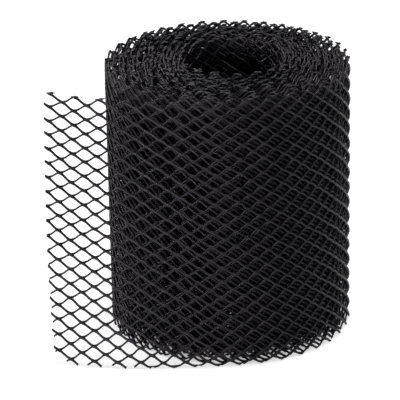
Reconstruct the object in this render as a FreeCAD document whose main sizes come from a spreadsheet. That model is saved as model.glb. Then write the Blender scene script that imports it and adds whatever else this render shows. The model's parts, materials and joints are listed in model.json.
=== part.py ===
import FreeCAD, Part
import math
import os
import re

import Sketcher
from FreeCAD import Placement, Rotation, Vector

# A roll of extruded plastic diamond mesh that keeps leaves out of a roof gutter.
# One strip is wound on itself and stands on its cut edge. Its outermost turn leaves
# the roll near the front and springs away to the left as a single open layer.
# Millimetres, +Z up the roll's axis, origin on that axis at floor level, front at -Y.

DIMENSIONS = {
    "strip_width": 165.0,    # width of the strip, which is the height of the standing roll
    "outer_radius": 72.5,    # outside of the outermost turn
    "bore_radius": 28.0,     # inside of the innermost turn
    "turn_gap": 0.37,        # slack between one turn and the next
    "gap_depth": 1.6,        # how far that slack shows at each end
    "outer_strand": 1.3,     # thickness of the strands on the outer side, which run down to the right
    "inner_strand": 1.0,     # thickness of those on the inner side, which run up to the right
    "outer_width": 1.5,      # how wide the outer strands look from the front
    "inner_width": 1.15,     # how wide the inner strands look from the front
    "strand_weld": 0.2,      # how far the two sink into one another where they cross
    "cell_length": 13.8,     # diamond pitch along the strip
    "cell_height": 9.0,      # diamond pitch across the strip
    "curl_radius": 190.0,    # outside of the free end, which has sprung open
    "free_length": 123.3,    # length of the free end from where it leaves the roll
    "leave_angle": 10.0,     # where it leaves, in degrees to the right of the front
    "root_step": 0.25,       # how far it stands proud of the roll at its root
    "end_stub": 3.0,         # strand left past the last crossings at the cut end
    "edge_stub": 2.2,        # strand left past the last crossings at the top edge
}
SHEET = "Dimensions"
TURNS_PER_NOTCH = 3          # the slack shows at every third turn
PANELS = 5                   # flat lengths that stand for the free end's curve
LEAST_HOLD = 0.6             # share of a cell that a strand spans inside the strip, or it falls away


def make_dimension_sheet(doc):
    sheet = doc.addObject("Spreadsheet::Sheet", SHEET)
    for row, (name, value) in enumerate(DIMENSIONS.items(), start=1):
        sheet.set(f"A{row}", name)
        sheet.set(f"B{row}", str(value))
        sheet.setAlias(f"B{row}", name)
    doc.recompute()


def formula(text):
    """Writes the dimension names in a formula as references to the sheet."""
    names = "|".join(DIMENSIONS)
    return re.sub(rf"\b({names})\b", rf"{SHEET}.\1", text)


THICKNESS = "(outer_strand + inner_strand - strand_weld)"
PITCH = f"({THICKNESS} + turn_gap)"


def plane(body, role):
    return next(f for f in body.Origin.OriginFeatures if f.Role == role)


def new_sketch(body, name, role="XZ_Plane"):
    sketch = body.newObject("Sketcher::SketchObject", name)
    sketch.AttachmentSupport = [(plane(body, role), "")]
    sketch.MapMode = "FlatFace"
    return sketch


def add_outline(sketch, corners):
    """Adds a closed outline whose corners are (guess, formula) pairs for across and up."""
    first = sketch.GeometryCount
    count = len(corners)
    guesses = [Vector(across[0], up[0], 0) for across, up in corners]
    for i in range(count):
        line = Part.LineSegment(guesses[i], guesses[(i + 1) % count])
        sketch.addGeometry(line, False)
    for i in range(count):
        after = first + (i + 1) % count
        sketch.addConstraint(Sketcher.Constraint("Coincident", first + i, 2, after, 1))
    for i, corner in enumerate(corners):
        for kind, (guess, text) in zip(("DistanceX", "DistanceY"), corner):
            if text == "0":
                axis = -2 if kind == "DistanceX" else -1
                sketch.addConstraint(Sketcher.Constraint("PointOnObject", first + i, 1, axis))
                continue
            index = sketch.addConstraint(Sketcher.Constraint(kind, -1, 1, first + i, 1, guess))
            sketch.setExpression(f"Constraints[{index}]", formula(text))


def make_rolled_turns(doc, dims):
    """The wound part of the strip: a turned ring with a notch between turns at both ends."""
    body = doc.addObject("PartDesign::Body", "RolledTurns")
    inner = (dims["bore_radius"], "bore_radius")
    outer = (dims["outer_radius"], "outer_radius")
    low = (0.0, "0")
    high = (dims["strip_width"], "strip_width")
    section = new_sketch(body, "HalfSection")
    add_outline(section, [(inner, low), (outer, low), (outer, high), (inner, high)])
    ring = body.newObject("PartDesign::Revolution", "Ring")
    ring.Profile = section
    ring.ReferenceAxis = (section, ["V_Axis"])
    ring.Angle = 360.0
    doc.recompute()

    thickness = dims["outer_strand"] + dims["inner_strand"] - dims["strand_weld"]
    gap = dims["turn_gap"]
    depth = dims["gap_depth"]
    notches = new_sketch(body, "TurnGaps")
    turn = TURNS_PER_NOTCH
    while outer[0] - turn * (thickness + gap) > inner[0] + gap:
        at = outer[0] - turn * (thickness + gap)
        text = f"outer_radius - {turn} * {PITCH}"
        left = (at, text)
        right = (at + gap, f"{text} + turn_gap")
        middle = (at + gap / 2, f"{text} + turn_gap / 2")
        floor = (depth, "gap_depth")
        ceiling = (high[0] - depth, "strip_width - gap_depth")
        add_outline(notches, [(left, low), (right, low), (middle, floor)])
        add_outline(notches, [(left, high), (right, high), (middle, ceiling)])
        turn += TURNS_PER_NOTCH
    groove = body.newObject("PartDesign::Groove", "TurnGapGrooves")
    groove.Profile = notches
    groove.ReferenceAxis = (notches, ["V_Axis"])
    groove.Angle = 360.0
    body.Tip = groove
    doc.recompute()
    return body


# The free end lies on a cylinder that touches the roll's outside at the leaving line.
OFFSET = "(curl_radius - outer_radius)"
ROOT_TURN = f"acos(1 - root_step * outer_radius / (curl_radius * {OFFSET}))"
FREE_TURN = "(free_length / curl_radius * 180 / pi)"


def curl_place(dims):
    """Returns where the curl's axis is, and the strip's root and cut end measured along X."""
    offset = dims["curl_radius"] - dims["outer_radius"]
    leave = math.radians(dims["leave_angle"])
    share = dims["root_step"] * dims["outer_radius"] / (dims["curl_radius"] * offset)
    root = leave - math.acos(1 - share)
    end = leave - dims["free_length"] / dims["curl_radius"]
    axis = -offset * math.sin(leave)
    reach = dims["curl_radius"]
    return axis, axis + reach * math.sin(root), axis + reach * math.sin(end)


def make_layer(doc, dims, name, out, out_text, into, into_text):
    """One layer of the free end as a plain sheet, bent panel by panel from its cut end to its root."""
    body = doc.addObject("PartDesign::Body", name)
    axis, root, end = curl_place(dims)
    sweep = math.asin((root - axis) / dims["curl_radius"]) - math.asin((end - axis) / dims["curl_radius"])
    sweep_text = f"({FREE_TURN} * 1deg - {ROOT_TURN})"
    plan = new_sketch(body, f"{name}Plan", "XY_Plane")

    def bend(number, reach, reach_text):
        turned = sweep * number / PANELS
        turned_text = f"({sweep_text} * {number} / {PANELS})"
        across = (reach * math.cos(turned), f"({reach_text}) * cos{turned_text}")
        along = (reach * math.sin(turned), f"({reach_text}) * sin{turned_text}" if number else "0")
        return across, along

    outside = [bend(number, out, out_text) for number in range(PANELS + 1)]
    inside = [bend(number, into, into_text) for number in range(PANELS, -1, -1)]
    add_outline(plan, outside + inside)
    panels = body.newObject("PartDesign::Pad", f"{name}Panels")
    panels.Profile = plan
    panels.setExpression("Length", formula("strip_width"))
    body.Tip = panels
    body.Placement = Placement(Vector(), Rotation(Vector(0, 0, 1), 1))
    body.setExpression("Placement.Base.x", formula(f"-{OFFSET} * sin(leave_angle * 1deg) * 1mm"))
    body.setExpression("Placement.Base.y", formula(f"{OFFSET} * cos(leave_angle * 1deg) * 1mm"))
    turned = f"(leave_angle - 90) * 1deg - {FREE_TURN} * 1deg"
    body.setExpression("Placement.Rotation.Angle", formula(turned))
    doc.recompute()
    return body


END_ACROSS = f"(-{OFFSET} * sin(leave_angle * 1deg) + curl_radius * sin((leave_angle - {FREE_TURN}) * 1deg))"
RUN = "(cell_length / cell_height)"


def make_strands(doc, dims, name, width, lean):
    """All the strands of one layer as flat bars seen from the front, before they are bent to the curl.

    lean is -1 for strands that run down to the right and 1 for strands that run up to the right.
    """
    axis, root, end = curl_place(dims)
    high = dims["strip_width"]
    length = dims["cell_length"]
    run = length / dims["cell_height"]
    cross_at = end + dims["end_stub"]
    cross_up = high - dims["edge_stub"]
    # A strand that is cut off within half a cell has no crossing to hold it, and falls away.
    kept = []
    furthest = math.ceil((root - end + 2 * high * run) / length)
    for number in range(-furthest, furthest + 1):
        feet = cross_at - lean * cross_up * run + number * length
        head = feet + lean * high * run
        inside = min(max(feet, head), root) - max(min(feet, head), end)
        if inside > LEAST_HOLD * length:
            kept.append(number)

    body = doc.addObject("PartDesign::Body", name)
    sketch = new_sketch(body, f"{name}Outline")
    half = dims[width] / 2 * math.hypot(run, 1)
    half_text = f"{width} / 2 * sqrt({RUN} ^ 2 + 1)"
    middle_text = f"{END_ACROSS} + end_stub + {kept[0]} * cell_length"

    def corner(up, up_text, side):
        across = cross_at + kept[0] * length + lean * (up - cross_up) * run + side * half
        lift = f"{lean} * ({up_text} - strip_width + edge_stub) * {RUN}"
        text = f"{middle_text} + {lift} + {side} * {half_text}"
        return (across, text), (up, up_text)

    below = (-dims["cell_height"], "-cell_height")
    above = (high + dims["cell_height"], "strip_width + cell_height")
    corners = [corner(*below, -1), corner(*below, 1), corner(*above, 1), corner(*above, -1)]
    add_outline(sketch, corners)
    bar = body.newObject("PartDesign::Pad", f"{name}Bar")
    bar.Profile = sketch
    bar.SideType = "Symmetric"
    bar.setExpression("Length", formula("2 * curl_radius"))
    doc.recompute()
    row = body.newObject("PartDesign::LinearPattern", f"{name}Row")
    row.Originals = [bar]
    row.Direction = (plane(body, "X_Axis"), [""])
    row.Occurrences = len(kept)
    row.setExpression("Length", formula(f"{len(kept) - 1} * cell_length"))
    body.Tip = row
    doc.recompute()
    return body


def bend_strands(doc, name, strands, layer):
    bent = doc.addObject("Part::Common", name)
    bent.Base = strands
    bent.Tool = layer
    doc.recompute()
    return bent


def check(doc):
    for thing in doc.Objects:
        if "Invalid" in thing.State or "Error" in thing.State:
            raise RuntimeError(f"{thing.Label} did not build: {thing.State}")
        shape = getattr(thing, "Shape", None)
        if shape is not None and thing.isDerivedFrom("Part::Feature"):
            if shape.isNull() or not shape.isValid():
                raise RuntimeError(f"{thing.Label} has no valid shape")


def main():
    doc = FreeCAD.newDocument("GutterGuardRoll")
    make_dimension_sheet(doc)
    dims = DIMENSIONS
    turns = make_rolled_turns(doc, dims)

    out = dims["curl_radius"]
    back = out - dims["outer_strand"] - dims["inner_strand"] + dims["strand_weld"]
    outer_layer = make_layer(
        doc, dims, "OuterLayer", out, "curl_radius",
        out - dims["outer_strand"], "curl_radius - outer_strand",
    )
    inner_layer = make_layer(
        doc, dims, "InnerLayer", back + dims["inner_strand"], "curl_radius - outer_strand + strand_weld",
        back, f"curl_radius - {THICKNESS}",
    )
    falling = make_strands(doc, dims, "FallingStrands", "outer_width", -1)
    rising = make_strands(doc, dims, "RisingStrands", "inner_width", 1)
    outer_bars = bend_strands(doc, "OuterBars", falling, outer_layer)
    inner_bars = bend_strands(doc, "InnerBars", rising, inner_layer)

    roll = doc.addObject("Part::MultiFuse", "MeshRoll")
    roll.Label = "mesh_roll"
    roll.Shapes = [turns, outer_bars, inner_bars]
    doc.recompute()
    check(doc)
    if len(roll.Shape.Solids) != 1:
        raise RuntimeError(f"the roll came out as {len(roll.Shape.Solids)} solids")

    os.makedirs("parts", exist_ok=True)
    roll.Shape.exportStep(f"parts/{roll.Label}.step")


main()
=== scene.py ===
import json
import math

import bpy
import numpy as np
from mathutils import Matrix, Vector


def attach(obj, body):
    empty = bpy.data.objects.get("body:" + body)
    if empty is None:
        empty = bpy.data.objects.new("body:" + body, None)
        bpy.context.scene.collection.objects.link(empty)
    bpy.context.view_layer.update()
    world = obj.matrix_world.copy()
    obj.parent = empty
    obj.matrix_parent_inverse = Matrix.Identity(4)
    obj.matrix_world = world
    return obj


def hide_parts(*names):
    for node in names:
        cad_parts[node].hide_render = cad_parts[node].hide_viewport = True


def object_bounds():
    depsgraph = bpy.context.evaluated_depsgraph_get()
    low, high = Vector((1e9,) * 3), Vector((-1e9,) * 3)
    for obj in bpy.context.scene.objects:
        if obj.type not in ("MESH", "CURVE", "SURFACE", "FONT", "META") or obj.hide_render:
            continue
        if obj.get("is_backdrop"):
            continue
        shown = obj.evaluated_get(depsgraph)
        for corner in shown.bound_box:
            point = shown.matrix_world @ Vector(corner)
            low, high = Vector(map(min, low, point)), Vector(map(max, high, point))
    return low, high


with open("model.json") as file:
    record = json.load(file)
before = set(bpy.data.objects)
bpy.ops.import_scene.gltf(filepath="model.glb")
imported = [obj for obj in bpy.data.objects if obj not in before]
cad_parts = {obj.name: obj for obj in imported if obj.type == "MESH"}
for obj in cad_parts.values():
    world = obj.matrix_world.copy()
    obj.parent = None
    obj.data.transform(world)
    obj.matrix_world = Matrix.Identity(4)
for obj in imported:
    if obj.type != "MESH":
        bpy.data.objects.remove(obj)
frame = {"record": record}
cadLow, cadHigh = (np.array(corner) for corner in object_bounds())
mounts = {mount["name"]: mount for mount in frame["record"]["mounts"]}
mm = 0.001
fullTurn = 2 * math.pi


# the strip's way in plan, in mm: wound clockwise seen from above, then sprung free at the front
roll = {
    "width": cadHigh[2] / mm,                     # the strip's width, the roll's height
    "outerRadius": cadHigh[0] / mm,
    "boreRadius": mounts["core_bore"]["dims"]["r_mm"],
    "boreRoom": 0.6,                              # between the bore and the innermost turn
    "thickness": 2.1,
    "turnPitch": 2.47,
    "leaveAngle": math.radians(10),               # right of the front, where the free end leaves
    "stepSharpness": 8.0,                         # how late each turn dips under the next
    "coreShift": (3.6, 5.5),                      # the middle was wound a little off centre
    "samples": 8000,
}
freeEnd = {
    "curlRadius": 190.0,
    "length": 123.2,
    "kickFrom": 38.0,                             # from here on it leans and cups, edges forward
    "kickOver": 75.0,
    "kick": (-9.2, 0.2088, -0.000795),            # how far back the end stands, by height
}


def turnRadius(turned):
    # outside of the strip after that much winding in from the leaving line
    turns = turned / fullTurn
    whole = np.floor(turns)
    dip = (turns - whole) ** roll["stepSharpness"]
    return roll["outerRadius"] - roll["turnPitch"] * (whole + dip)


coreRadius = roll["boreRadius"] + roll["boreRoom"]
turnCount = (roll["outerRadius"] - coreRadius - roll["thickness"]) / roll["turnPitch"]
windings = np.linspace(0, fullTurn * turnCount, roll["samples"])
windingMiddles = (windings[1:] + windings[:-1]) / 2
wound = np.concatenate([[0], np.cumsum(turnRadius(windingMiddles) * np.diff(windings))])
curlOffset = freeEnd["curlRadius"] - roll["outerRadius"]
curlAxis = curlOffset * np.array([-math.sin(roll["leaveAngle"]), math.cos(roll["leaveAngle"])])
print("strip: wound", round(wound[-1]), "mm in", round(turnCount, 1), "turns, free", freeEnd["length"], "mm")


def headingAt(along):
    # angle round from the front, positive to the right; along is mm past the leaving line, less on the roll
    turned = np.interp(-along, wound, windings)
    return roll["leaveAngle"] + np.where(along > 0, -along / freeEnd["curlRadius"], turned)


def stripPlace(along, height, depth):
    # where the strip is in plan, depth mm in from its outer face, and which way that face looks
    turned = np.interp(-along, wound, windings)
    free = (along > 0)[:, None]
    heading = headingAt(along)
    outward = np.stack([np.sin(heading), -np.cos(heading)], axis=1)
    shifted = np.array(roll["coreShift"]) * (turned / windings[-1])[:, None]
    radius = np.where(free[:, 0], freeEnd["curlRadius"], turnRadius(turned)) - depth
    plan = np.where(free, curlAxis, shifted) + outward * radius[:, None]
    kicked = np.clip((along - freeEnd["kickFrom"]) / freeEnd["kickOver"], 0, None)
    foot, leaning, cupped = freeEnd["kick"]
    plan[:, 1] += kicked * (foot + leaning * height + cupped * height ** 2)
    return plan, outward


# diamond netting in mm: crossings sit half a cell apart, in columns along the strip and rows down it
netting = {
    "cellLength": (13.1, 0.00017, -1400),         # on the roll's outside, its change per mm, and how far in
    "freeCellLength": (13.4, 0.0095),             # on the free end seen from the front, and its growth
    "rows": (8.65, 0.0138),                       # row spacing on the roll, opening up a little downwards
    "freeRows": (8.70, 0.0115),                   # and on the free end
    "lean": (0.095, -0.000166),                   # how columns lean along the strip on the roll
    "freeLean": (0.0845, -0.0002),                # and on the free end
    "freeBlend": (-10, 80),                       # where the roll's cells pass into the free end's
    "topRow": 1.05,                               # first row of crossings, below the top edge
    "column": 2.9,                                # one of its crossings, past the leaving line
    "wander": (0.2, 0.2, 0.06),                   # unevenness along, down and through the strip
    "pulls": {                                    # how far the mesh is moved along, by place
        -101: 0, -215: 3.3, -340: 0, -552: 0, -662: 6.2, -760: 0, -1000: 0, -1093: 5.2,
    },
    "nests": {                                    # and how far in, less being out into the turn round it
        -690: 0, -740: -1.0, -800: -1.0, -840: 0, -1130: 0, -1170: -1.2, -1230: -1.2, -1270: 0,
    },
    "drift": {                                    # slack of the inner turns: size, spacing
        "along": (6.0, 110.0),
        "down": (0.7, 70.0),
        "through": (1.0, 14.0),
    },
    "driftFade": (-1900, -1350),                  # the outer turns lie evenly
    "coreFade": 420.0,                            # and so does this much at the core
    "loosening": (1.0, 1.0, 8.0),                 # how much more uneven the inner turns are
    "rimWear": 0.7,                               # raggedness of the cut edges
    "rimMargin": 0.15,
    "loops": ((-490, -450, -310, -280), (-60, -35, 60, 74)),     # where the bottom edge closes as loops
    "loopDip": 1.0,                               # strands run this far past the edge there
    "loopFlat": 4,                                # and flatten from this many half widths up
    "looseTail": (60, 74),                        # past here the bottom edge ends in stubs
    "tail": (0.5, 1.4),                           # how high the stubs stop, and their spread
    "cutBow": {"middle": 68.0, "above": 90.0, "below": 50.0, "trim": 1.7},   # the cut end bows, by height
    "cutSlope": 0.4,                              # strands flatter than this to a cut are cut less askew
    "cutSlide": 1.2,
    "snap": {"stub": 0.1, "reach": 0.6, "above": 45.0},          # rising strands snapped at the cut end
    "spare": 4,                                   # rows and columns kept past the edges
    "margin": 20,                                 # mm searched past a stretch for strands that reach in
    "seed": 12,
}
strandLayers = {
    "falling": {
        "way": -1, "width": 1.32, "thick": 1.15, "depth": 0.7,   # depth in from the strip's outer face
        "swell": 0.42, "sink": 0.2, "ease": 0.3,                 # fuller, deeper and flatter at crossings
    },
    "rising": {
        "way": 1, "width": 1.12, "thick": 0.98, "depth": 2.0,
        "swell": 0.34, "sink": -0.3, "ease": 0.45,
    },
}

rng = np.random.default_rng(netting["seed"])
alongTable = np.linspace(-wound[-1] - 300, freeEnd["length"] + 60, 6000)     # with room past both ends
freeCells = netting["freeCellLength"][0] + netting["freeCellLength"][1] * alongTable
widest, narrowing, narrowest = netting["cellLength"]
woundCells = widest + narrowing * np.clip(alongTable, narrowest, 0)
cellSteps = np.where(alongTable > 0, np.cos(headingAt(alongTable)) / freeCells, 1 / woundCells)
cellTable = np.concatenate([[0], np.cumsum((cellSteps[1:] + cellSteps[:-1]) / 2 * np.diff(alongTable))])
cellTable -= np.interp(netting["column"], alongTable, cellTable)
columnLow = math.floor(2 * cellTable[0])
columnCount = math.ceil(2 * cellTable[-1]) - columnLow + 2 * netting["spare"]
rowsDown = math.ceil(2 * roll["width"] / netting["rows"][0]) + netting["spare"]
unevenness = rng.normal(0, 1, (columnCount, rowsDown + 2 * netting["spare"], 3))
unevenness = np.clip(unevenness, -2, 2) * np.array(netting["wander"])


def smoothShare(value, low, high):
    share = np.clip((value - low) / (high - low), 0, 1)
    return share * share * (3 - 2 * share)


def bend(value, terms):
    return terms[0] * value + terms[1] * value ** 2


def slackTable(size, spacing):
    # a smooth seeded wander along the strip, none on its outer turns and free end
    knots = np.arange(alongTable[0], alongTable[-1] + spacing, spacing)
    values = rng.uniform(-size, size, len(knots))
    place = (alongTable - knots[0]) / spacing
    index = np.minimum(place.astype(int), len(knots) - 2)
    share = smoothShare(place - index, 0, 1)
    wander = values[index] * (1 - share) + values[index + 1] * share
    inward = 1 - smoothShare(alongTable, *netting["driftFade"])
    return wander * inward * smoothShare(alongTable, -wound[-1], netting["coreFade"] - wound[-1])


slack = {way: slackTable(*terms) for way, terms in netting["drift"].items()}
for way, moves in (("along", netting["pulls"]), ("through", netting["nests"])):
    places = sorted(moves, reverse=True)
    for outer, inner in zip(places, places[1:]):
        slack[way] += (moves[inner] - moves[outer]) * (1 - smoothShare(alongTable, inner, outer))


def strandCourse(layer, number, rows):
    # along, height and depth of one strand at these rows, counted in half cells from the top row
    down = np.floor(rows)
    part = rows - down
    eased = down + part - layer["ease"] * np.sin(fullTurn * part) / fullTurn
    along = np.interp((number + layer["way"] * rows) / 2, cellTable, alongTable)
    free = smoothShare(along, *netting["freeBlend"])
    drop = (1 - free) * bend(eased / 2, netting["rows"]) + free * bend(eased / 2, netting["freeRows"])
    along = along + (1 - free) * bend(drop, netting["lean"]) + free * bend(drop, netting["freeLean"])

    # both strands of a crossing share its unevenness
    share = (part * part * (3 - 2 * part))[:, None]
    rowIndex = down.astype(int) + netting["spare"]
    columnIndex = (number + layer["way"] * down).astype(int) - columnLow
    here = unevenness[np.clip(columnIndex, 0, columnCount - 1), rowIndex]
    there = unevenness[np.clip(columnIndex + layer["way"], 0, columnCount - 1), rowIndex + 1]
    inner = (1 - smoothShare(along, *netting["driftFade"]))[:, None]
    moved = (here * (1 - share) + there * share) * (1 + inner * np.array(netting["loosening"]))
    near = (np.cos(fullTurn * part) + 1) / 2      # 1 at a crossing, 0 half way between two
    pulled, dropped, nested = (
        np.interp(along, alongTable, slack[way]) for way in ("along", "down", "through")
    )
    depth = layer["depth"] + layer["sink"] * near + moved[:, 2] + nested
    height = roll["width"] - netting["topRow"] - drop + moved[:, 1] - dropped
    return along + moved[:, 0] + pulled, height, depth, near


def loopShare(along):
    # 1 where the bottom edge closes as loops, 0 where it ends in prongs or stubs
    share = 0
    for riseFrom, riseTo, fallFrom, fallTo in netting["loops"]:
        share = share + smoothShare(along, riseFrom, riseTo) * (1 - smoothShare(along, fallFrom, fallTo))
    return share


def strandTube(layer, number, rows, sides, cuts):
    # one strand as rings of points, with its two ends cut square to the rim or to the strip
    along, height, depth, near = strandCourse(layer, number, rows)
    lowest = layer["width"] / 2
    flat = netting["loopFlat"]
    loop = (flat - 1) * lowest * np.exp(np.minimum(height / lowest - flat, 0) / (flat - 1)) + lowest
    looped = loopShare(along) * (height < flat * lowest)
    height = height * (1 - looped) + loop * looped
    plan, outward = stripPlace(along, height, depth)
    path = np.column_stack([plan, height])
    run = np.gradient(path, axis=0)
    run /= np.linalg.norm(run, axis=1)[:, None]
    out = np.column_stack([outward, np.zeros(len(path))])
    out -= run * np.sum(out * run, axis=1)[:, None]
    out /= np.linalg.norm(out, axis=1)[:, None]
    across = np.cross(run, out)
    around = (np.arange(sides) + 0.5) * fullTurn / sides
    rounding = math.sqrt(fullTurn / (sides * math.sin(fullTurn / sides)))    # keeps the round section's area
    size = rounding / 2 * (1 + layer["swell"] * near ** 3)[:, None, None]
    rings = path[:, None] + size * (
        layer["width"] * np.cos(around)[None, :, None] * across[:, None]
        + layer["thick"] * np.sin(around)[None, :, None] * out[:, None]
    )
    for end, cut in zip((0, -1), cuts):
        if cut == "tail":
            continue
        if cut == "rim":
            normal = np.array([0.0, 0.0, 1.0])
        else:
            normal = np.array([-outward[end][1], outward[end][0], 0.0])
        slope = run[end] @ normal
        slope = math.copysign(max(abs(slope), netting["cutSlope"]), slope)
        slide = np.clip((rings[end] - path[end]) @ normal / slope, -netting["cutSlide"], netting["cutSlide"])
        rings[end] -= slide[:, None] * run[end]
    return rings


def rowRange(layer, number, alongFrom, alongTo, steps):
    # rows of the part of a strand that lies between the rims and between two places along the strip
    rows = np.arange(-3 * steps, (rowsDown + 2) * steps + 1) / steps         # starts and ends past the rims
    along, height, depth, near = strandCourse(layer, number, rows)
    topChance, bottomChance, tailChance = rng.random(3)
    topWear = netting["rimMargin"] + topChance * netting["rimWear"]
    bottomWear = netting["rimMargin"] + bottomChance * netting["rimWear"]
    loose = smoothShare(along, *netting["looseTail"])
    tail = netting["tail"][0] + netting["tail"][1] * tailChance
    bottom = (1 - loose) * bottomWear - loopShare(along) * netting["loopDip"] + loose * tail
    rims = np.minimum(roll["width"] - topWear - height, height - bottom)
    bow = netting["cutBow"]
    away = height - bow["middle"]
    trim = bow["trim"] * (away / np.where(away > 0, bow["above"], bow["below"])) ** 2
    ends = np.minimum(np.minimum(alongTo, freeEnd["length"] - trim) - along, along - alongFrom)
    inside = np.minimum(rims, ends)
    kept = np.flatnonzero(inside > 0)
    if len(kept) < 2:
        return None
    first, last = kept[0], kept[-1]
    cuts = []
    span = []
    for edge, beyond in ((first, first - 1), (last, last + 1)):
        share = inside[edge] / (inside[edge] - inside[beyond])
        span.append(rows[edge] + (rows[beyond] - rows[edge]) * share)
        cut = "rim" if rims[beyond] < ends[beyond] else "end"
        stub = cut == "rim" and loose[edge] > 0.5 and height[edge] < roll["width"] / 2
        cuts.append("tail" if stub else cut)
    snap = netting["snap"]
    crossing = math.floor(span[1]) + snap["stub"]
    snaps = layer["way"] > 0 and cuts[1] == "end" and alongTo == freeEnd["length"]
    if snaps and crossing < span[1] < crossing + snap["reach"] and height[last] > snap["above"]:
        span[1] = crossing
    middle = rows[first:last + 1]
    clear = 0.1 / steps                           # no ring this close to a cut
    middle = middle[(middle > span[0] + clear) & (middle < span[1] - clear)]
    return np.concatenate([[span[0]], middle, [span[1]]]), cuts


def makeNetting(name, alongFrom, alongTo, steps, sides):
    # every strand of one stretch of the strip, joined in one mesh of quads
    points, quads, smooth = [], [], []
    base = 0
    cap = np.array([[0, 1, 2, 3]] if sides == 4 else [[0, 1, 2, 3], [0, 3, 4, 5]])
    ring = np.arange(sides)
    following = np.roll(ring, -1)
    for layer in strandLayers.values():
        low = 2 * np.interp(alongFrom - netting["margin"], alongTable, cellTable)
        high = 2 * np.interp(alongTo + netting["margin"], alongTable, cellTable)
        start, stop = (low, high + rowsDown) if layer["way"] < 0 else (low - rowsDown, high)
        for number in range(2 * math.floor(start / 2), math.ceil(stop), 2):
            found = rowRange(layer, number, alongFrom, alongTo, steps)
            if found is None:
                continue
            rows, cuts = found
            rings = strandTube(layer, number, rows, sides, cuts)
            places = base + np.arange(len(rows))[:, None] * sides
            walls = np.stack([
                places[:-1] + ring, places[:-1] + following, places[1:] + following, places[1:] + ring,
            ], axis=-1).reshape(-1, 4)
            caps = np.concatenate([base + cap[:, ::-1], places[-1] + cap])
            points.append(rings.reshape(-1, 3))
            quads.append(np.concatenate([walls, caps]))
            smooth.append(np.concatenate([np.ones(len(walls), bool), np.zeros(len(caps), bool)]))
            base += len(rows) * sides
    points = np.clip(np.concatenate(points) * mm, cadLow, cadHigh)
    quads = np.concatenate(quads)
    mesh = bpy.data.meshes.new(name)
    mesh.vertices.add(len(points))
    mesh.vertices.foreach_set("co", points.astype(np.float32).ravel())
    mesh.loops.add(quads.size)
    mesh.loops.foreach_set("vertex_index", quads.astype(np.int32).ravel())
    mesh.polygons.add(len(quads))
    mesh.polygons.foreach_set("loop_start", np.arange(0, quads.size, 4, dtype=np.int32))
    mesh.polygons.foreach_set("use_smooth", np.concatenate(smooth))
    mesh.update(calc_edges=True)
    mesh.validate()
    piece = bpy.data.objects.new(name, mesh)
    bpy.context.scene.collection.objects.link(piece)
    mesh.materials.append(blackPlastic)
    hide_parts("mesh_roll")
    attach(piece, "root")
    print(name, len(points), "points,", 2 * len(quads), "triangles")


# satin charcoal polyethylene, extruded: cloudy in colour and gloss, with a fine grain and dull pale scuffs
plastic = {
    "dark": (0.0085, 0.0078, 0.0092, 1),
    "pale": (0.0185, 0.017, 0.02, 1),
    "scuffed": (0.036, 0.034, 0.037, 1),
    "sheen": (0.956, 0.885, 1.0, 1),
    "roughness": (0.27, 0.44),
    "scuffRoughness": 0.6,
    "patches": (90.0, 4, 0.35, 0.65),             # noise scale, detail and the range it is spread over
    "scuffs": (380.0, 6, 0.6, 0.74),
    "grain": (2600.0, 2, 0.0, 1.0),
    "grainDepth": 0.00006,
    "grainStrength": 0.5,
}


def makeBlackPlastic():
    material = bpy.data.materials.new("blackPlastic")
    material.use_nodes = True
    nodes, links = material.node_tree.nodes, material.node_tree.links
    shader = nodes["Principled BSDF"]
    shader.inputs["Specular Tint"].default_value = plastic["sheen"]
    place = nodes.new("ShaderNodeTexCoord")

    def cloud(name):
        scale, detail, low, high = plastic[name]
        noise = nodes.new("ShaderNodeTexNoise")
        noise.inputs["Scale"].default_value = scale
        noise.inputs["Detail"].default_value = detail
        spread = nodes.new("ShaderNodeMapRange")
        spread.inputs["From Min"].default_value = low
        spread.inputs["From Max"].default_value = high
        links.new(place.outputs["Object"], noise.inputs["Vector"])
        links.new(noise.outputs["Fac"], spread.inputs["Value"])
        return spread.outputs["Result"]

    def blend(kind, mask, first, second):
        mix = nodes.new("ShaderNodeMix")
        mix.data_type = kind
        inputs = {socket.name: socket for socket in mix.inputs if socket.enabled}
        links.new(mask, inputs["Factor"])
        inputs["B"].default_value = second
        if isinstance(first, bpy.types.NodeSocket):
            links.new(first, inputs["A"])
        else:
            inputs["A"].default_value = first
        return next(socket for socket in mix.outputs if socket.enabled)

    patches, scuffs, grain = (cloud(name) for name in ("patches", "scuffs", "grain"))
    cloudy = blend("RGBA", patches, plastic["dark"], plastic["pale"])
    colour = blend("RGBA", scuffs, cloudy, plastic["scuffed"])
    satin = blend("FLOAT", patches, *plastic["roughness"])
    rough = blend("FLOAT", scuffs, satin, plastic["scuffRoughness"])
    bump = nodes.new("ShaderNodeBump")
    bump.inputs["Distance"].default_value = plastic["grainDepth"]
    bump.inputs["Strength"].default_value = plastic["grainStrength"]
    links.new(grain, bump.inputs["Height"])
    links.new(colour, shader.inputs["Base Color"])
    links.new(rough, shader.inputs["Roughness"])
    links.new(bump.outputs["Normal"], shader.inputs["Normal"])
    print("black plastic made")
    return material


blackPlastic = makeBlackPlastic()

# name, from and to along the strip, rings to half a cell, sides of a strand: finest where it shows most
freeRoot = -60                                    # the free end's piece starts a little way round the roll
turnEnds = [-wound[-1] * share for share in (0.085, 0.3, 0.53, 0.765, 1)]
stretches = [
    ("free_end", freeRoot, freeEnd["length"], 6, 6),
    ("outer_turn", turnEnds[0], freeRoot, 5, 6),
    ("next_turns", turnEnds[1], turnEnds[0], 3, 4),
    ("middle_turns", turnEnds[2], turnEnds[1], 3, 4),
    ("inner_turns", turnEnds[3], turnEnds[2], 3, 4),
    ("core_turns", turnEnds[4], turnEnds[3], 3, 4),
]
for stretch in stretches:
    makeNetting(*stretch)


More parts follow.
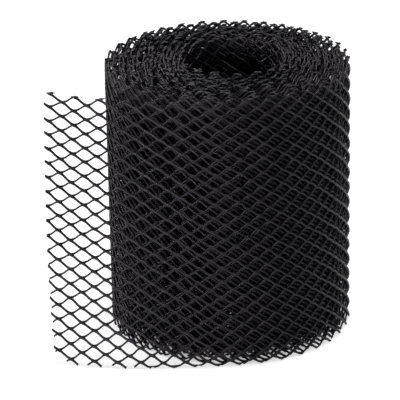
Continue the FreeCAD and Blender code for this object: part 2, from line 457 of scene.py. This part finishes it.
# the photograph's view, worked out from the roll's two rims
camera = {
    "elevation": math.radians(22.392),
    "roll": math.radians(-1.125),
    "distance": 1.56096,
    "aim": (-0.017384, 0.0, 0.075542),
    "focalPixels": 2604.0,
    "imagePixels": 400,
    "sensor": 36.0,
}


def makeCamera():
    data = bpy.data.cameras.new("photoCamera")
    data.sensor_width = camera["sensor"]
    data.lens = camera["focalPixels"] * camera["sensor"] / camera["imagePixels"]
    back = np.array([0, -math.cos(camera["elevation"]), math.sin(camera["elevation"])])
    right = np.array([1.0, 0, 0])
    up = np.cross(back, right)
    turn = camera["roll"]
    tiltedRight = math.cos(turn) * right + math.sin(turn) * up
    tiltedUp = -math.sin(turn) * right + math.cos(turn) * up
    place = np.array(camera["aim"]) + back * camera["distance"]
    matrix = np.eye(4)
    matrix[:3] = np.column_stack([tiltedRight, tiltedUp, back, place])
    holder = bpy.data.objects.new("photoCamera", data)
    holder.matrix_world = Matrix(matrix.tolist())
    bpy.context.scene.collection.objects.link(holder)
    bpy.context.scene.camera = holder
    print("camera set, lens", round(data.lens, 1), "mm")


# white studio: a pale floor that keeps a faint shadow and has a painted shadow under the roll, soft boxes
# round the roll, and a dim white tent
studio = {
    "floorSize": 6.0,
    "floorColour": (0.8, 0.8, 0.8, 1),
    "floorGlow": 0.66,                            # what the camera sees of the floor besides its lit share
    "paintedShadeUnderRoll": (0.05, 0.071),                   # painted shadow: the camera-only glow fades in between, so the floor under the roll's edge is painted darker
    "tentColour": (1, 1, 1, 1),
    "tentStrength": 0.02,
    "lamps": {
        "overhead": {"place": (0.15, 0.1, 2.05), "size": 0.9, "power": 22},
        "left": {"place": (-1.75, 0.2, 0.9), "size": 0.8, "power": 14},
        "right": {"place": (1.1, -0.5, 1.65), "size": 0.8, "power": 7},
        "front": {"place": (-0.3, -2.0, 0.25), "size": 0.6, "power": 10.5},
        "back": {"place": (-0.2, 1.9, 0.9), "size": 0.7, "power": 1.2},
    },
}


def makeFloor():
    half = studio["floorSize"] / 2
    mesh = bpy.data.meshes.new("floor")
    corners = [(-half, -half, 0), (half, -half, 0), (half, half, 0), (-half, half, 0)]
    mesh.from_pydata(corners, [], [(0, 1, 2, 3)])
    floor = bpy.data.objects.new("floor", mesh)
    bpy.context.scene.collection.objects.link(floor)
    material = bpy.data.materials.new("paleFloor")
    material.use_nodes = True
    nodes, links = material.node_tree.nodes, material.node_tree.links
    nodes.clear()
    lit = nodes.new("ShaderNodeBsdfDiffuse")
    lit.inputs["Color"].default_value = studio["floorColour"]

    # the glow is for the camera only, so it puts no light on the roll; it is cut away under the roll, which
    # paints a shadow there
    place = nodes.new("ShaderNodeTexCoord")
    distance = nodes.new("ShaderNodeVectorMath")
    distance.operation = "LENGTH"
    links.new(place.outputs["Object"], distance.inputs[0])
    # painted shadow under the roll: no glow inside the inner radius, full glow past the outer one
    outside = nodes.new("ShaderNodeMapRange")
    outside.inputs["From Min"].default_value, outside.inputs["From Max"].default_value = studio["paintedShadeUnderRoll"]
    outside.inputs["To Max"].default_value = studio["floorGlow"]
    links.new(distance.outputs["Value"], outside.inputs["Value"])
    rays = nodes.new("ShaderNodeLightPath")
    strength = nodes.new("ShaderNodeMath")
    strength.operation = "MULTIPLY"
    links.new(rays.outputs["Is Camera Ray"], strength.inputs[0])
    links.new(outside.outputs["Result"], strength.inputs[1])
    glow = nodes.new("ShaderNodeEmission")
    links.new(strength.outputs["Value"], glow.inputs["Strength"])

    both = nodes.new("ShaderNodeAddShader")
    links.new(lit.outputs["BSDF"], both.inputs[0])
    links.new(glow.outputs["Emission"], both.inputs[1])
    output = nodes.new("ShaderNodeOutputMaterial")
    links.new(both.outputs["Shader"], output.inputs["Surface"])
    mesh.materials.append(material)
    floor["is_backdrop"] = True
    print("floor laid")


def makeLights():
    world = bpy.data.worlds.new("whiteStudio")
    world.use_nodes = True
    nodes, links = world.node_tree.nodes, world.node_tree.links
    background = nodes["Background"]
    background.inputs["Color"].default_value = studio["tentColour"]
    rays = nodes.new("ShaderNodeLightPath")
    strength = nodes.new("ShaderNodeMapRange")    # plain white to the camera, dim to all else
    strength.inputs["To Min"].default_value = studio["tentStrength"]
    links.new(rays.outputs["Is Camera Ray"], strength.inputs["Value"])
    links.new(strength.outputs["Result"], background.inputs["Strength"])
    bpy.context.scene.world = world
    target = np.array([0, 0, roll["width"] * mm / 2])
    for name, lamp in studio["lamps"].items():
        data = bpy.data.lights.new(name, "AREA")
        data.shape = "DISK"
        data.size = lamp["size"]
        data.energy = lamp["power"]
        holder = bpy.data.objects.new(name, data)
        holder.location = lamp["place"]
        holder.rotation_mode = "QUATERNION"
        holder.rotation_quaternion = Vector(np.array(lamp["place"]) - target).to_track_quat("Z", "Y")
        bpy.context.scene.collection.objects.link(holder)
    print(len(studio["lamps"]), "lamps hung")


makeCamera()
makeFloor()
makeLights()
bpy.context.scene.view_settings.view_transform = "Standard"
